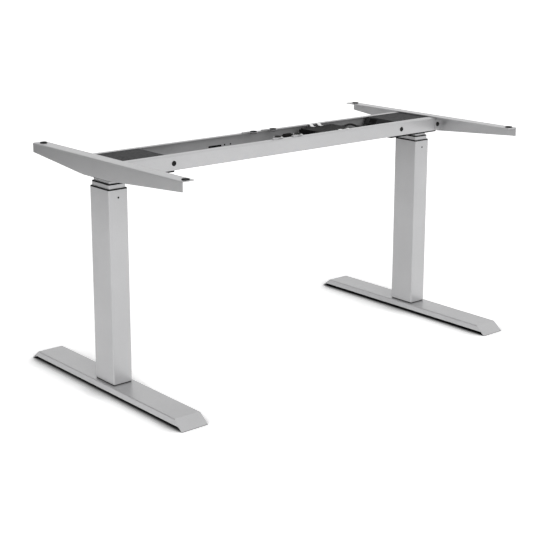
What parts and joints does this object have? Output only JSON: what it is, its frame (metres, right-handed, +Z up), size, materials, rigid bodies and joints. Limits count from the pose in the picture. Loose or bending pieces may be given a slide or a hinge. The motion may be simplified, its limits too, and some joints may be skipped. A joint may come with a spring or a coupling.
{
  "type": "standing desk frame",
  "caption": "Height adjustable desk frame: three-stage lifting columns on flat feet, a telescopic channel rail with a control box, and side brackets for the desktop.",
  "frame": {"origin": "on the floor, midway between the two columns and midway between the frame's front and rear ends", "axes": "+X along the rail to the right, +Y from front to rear, +Z up"},
  "size_m": [1.1924, 0.718, 0.6207],
  "materials": {
    "frame_paint": "silver grey powder coat, satin",
    "column_paint": "silver grey powder coat, satin",
    "dark_steel": "black powder coat, matt",
    "guide_plastic": "black moulded plastic",
    "black_screws": "black oxide",
    "bare_steel": "drawn steel, lightly oiled",
    "gearbox_casting": "die cast",
    "motor_can": "dark plated steel can",
    "black_plastic": "black moulded plastic",
    "cover_plastic": "dark grey, fine grain",
    "pad_rubber": "black rubber",
    "lead_sheath": "black cable sheath",
    "clip_steel": "zinc plated spring steel"
  },
  "bodies": {
    "left_base": {"left_foot": "frame_paint", "left_base_plate": "dark_steel", "left_base_screws": "black_screws", "left_outer_tube": "column_paint", "left_outer_collar": "column_paint", "left_outer_guide": "guide_plastic", "left_set_screw": "black_screws", "left_base_post": "bare_steel"},
    "left_middle": {"left_middle_tube": "column_paint", "left_middle_guide": "guide_plastic", "left_middle_post": "bare_steel"},
    "left_top": {"left_inner_tube": "column_paint", "left_head_plate": "dark_steel", "left_gearbox": "gearbox_casting", "left_motor": "motor_can", "left_motor_socket": "black_plastic", "left_head_cover": "cover_plastic", "left_end_rail": "frame_paint", "left_side_bracket": "frame_paint", "left_bracket_pads": "pad_rubber", "left_bracket_bolts": "black_screws", "left_lead_plug": "black_plastic"},
    "left_lower_drive": {"left_lower_spindle": "bare_steel"},
    "left_upper_drive": {"left_upper_spindle": "bare_steel"},
    "left_front_leveller": {"left_front_glide": "black_plastic"},
    "left_rear_leveller": {"left_rear_glide": "black_plastic"},
    "right_base": {"right_foot": "frame_paint", "right_base_plate": "dark_steel", "right_base_screws": "black_screws", "right_outer_tube": "column_paint", "right_outer_collar": "column_paint", "right_outer_guide": "guide_plastic", "right_set_screw": "black_screws", "right_base_post": "bare_steel"},
    "right_middle": {"right_middle_tube": "column_paint", "right_middle_guide": "guide_plastic", "right_middle_post": "bare_steel"},
    "right_top": {"right_inner_tube": "column_paint", "right_head_plate": "dark_steel", "right_gearbox": "gearbox_casting", "right_motor": "motor_can", "right_motor_socket": "black_plastic", "right_head_cover": "cover_plastic", "right_end_rail": "frame_paint", "right_side_bracket": "frame_paint", "right_bracket_pads": "pad_rubber", "right_bracket_bolts": "black_screws", "right_lead_plug": "black_plastic"},
    "right_lower_drive": {"right_lower_spindle": "bare_steel"},
    "right_upper_drive": {"right_upper_spindle": "bare_steel"},
    "right_front_leveller": {"right_front_glide": "black_plastic"},
    "right_rear_leveller": {"right_rear_glide": "black_plastic"},
    "beam": {"centre_rail": "frame_paint", "rail_clamp_bolts": "black_screws", "centre_grommets": "pad_rubber", "control_box": "black_plastic", "control_lid": "black_plastic", "control_clips": "clip_steel", "left_motor_lead": "lead_sheath", "right_motor_lead": "lead_sheath"}
  },
  "joints": [
    {"name": "left_middle_lift", "type": "slide", "parent": "left_base", "child": "left_middle", "axis": [0, 0, 1], "range_m": [0, 0.325]},
    {"name": "left_inner_lift", "type": "slide", "parent": "left_middle", "child": "left_top", "axis": [0, 0, 1], "range_m": [0, 0.325]},
    {"name": "left_rail_width", "type": "slide", "parent": "left_top", "child": "beam", "axis": [1, 0, 0], "range_m": [0, 0.25]},
    {"name": "right_rail_width", "type": "slide", "parent": "beam", "child": "right_top", "axis": [1, 0, 0], "range_m": [0, 0.25]},
    {"name": "right_inner_lift", "type": "slide", "parent": "right_top", "child": "right_middle", "axis": [0, 0, -1], "range_m": [0, 0.325]},
    {"name": "right_middle_lift", "type": "slide", "parent": "right_middle", "child": "right_base", "axis": [0, 0, -1], "range_m": [0, 0.325]},
    {"name": "left_lower_turn", "type": "hinge", "parent": "left_middle", "child": "left_lower_drive", "pos_m": [-0.555, 0.009, 0.3], "axis": [0, 0, 1], "range_deg": [0, 9752]},
    {"name": "left_upper_turn", "type": "hinge", "parent": "left_top", "child": "left_upper_drive", "pos_m": [-0.555, 0.009, 0.3], "axis": [0, 0, 1], "range_deg": [0, 9752]},
    {"name": "left_front_level", "type": "slide", "parent": "left_base", "child": "left_front_leveller", "axis": [0, 0, -1], "range_m": [0, 0.006]},
    {"name": "left_rear_level", "type": "slide", "parent": "left_base", "child": "left_rear_leveller", "axis": [0, 0, -1], "range_m": [0, 0.006]},
    {"name": "right_lower_turn", "type": "hinge", "parent": "right_middle", "child": "right_lower_drive", "pos_m": [0.555, 0.009, 0.3], "axis": [0, 0, 1], "range_deg": [0, 9752]},
    {"name": "right_upper_turn", "type": "hinge", "parent": "right_top", "child": "right_upper_drive", "pos_m": [0.555, 0.009, 0.3], "axis": [0, 0, 1], "range_deg": [0, 9752]},
    {"name": "right_front_level", "type": "slide", "parent": "right_base", "child": "right_front_leveller", "axis": [0, 0, -1], "range_m": [0, 0.006]},
    {"name": "right_rear_level", "type": "slide", "parent": "right_base", "child": "right_rear_leveller", "axis": [0, 0, -1], "range_m": [0, 0.006]}
  ],
  "couplings": [
    {"joint": "left_inner_lift", "follows": "left_middle_lift", "ratio": 1},
    {"joint": "right_inner_lift", "follows": "left_middle_lift", "ratio": 1},
    {"joint": "right_middle_lift", "follows": "left_middle_lift", "ratio": 1},
    {"joint": "left_lower_turn", "follows": "left_middle_lift", "rad_per_m": 523.6},
    {"joint": "left_upper_turn", "follows": "left_middle_lift", "rad_per_m": 523.6},
    {"joint": "right_lower_turn", "follows": "left_middle_lift", "rad_per_m": 523.6},
    {"joint": "right_upper_turn", "follows": "left_middle_lift", "rad_per_m": 523.6}
  ]
}
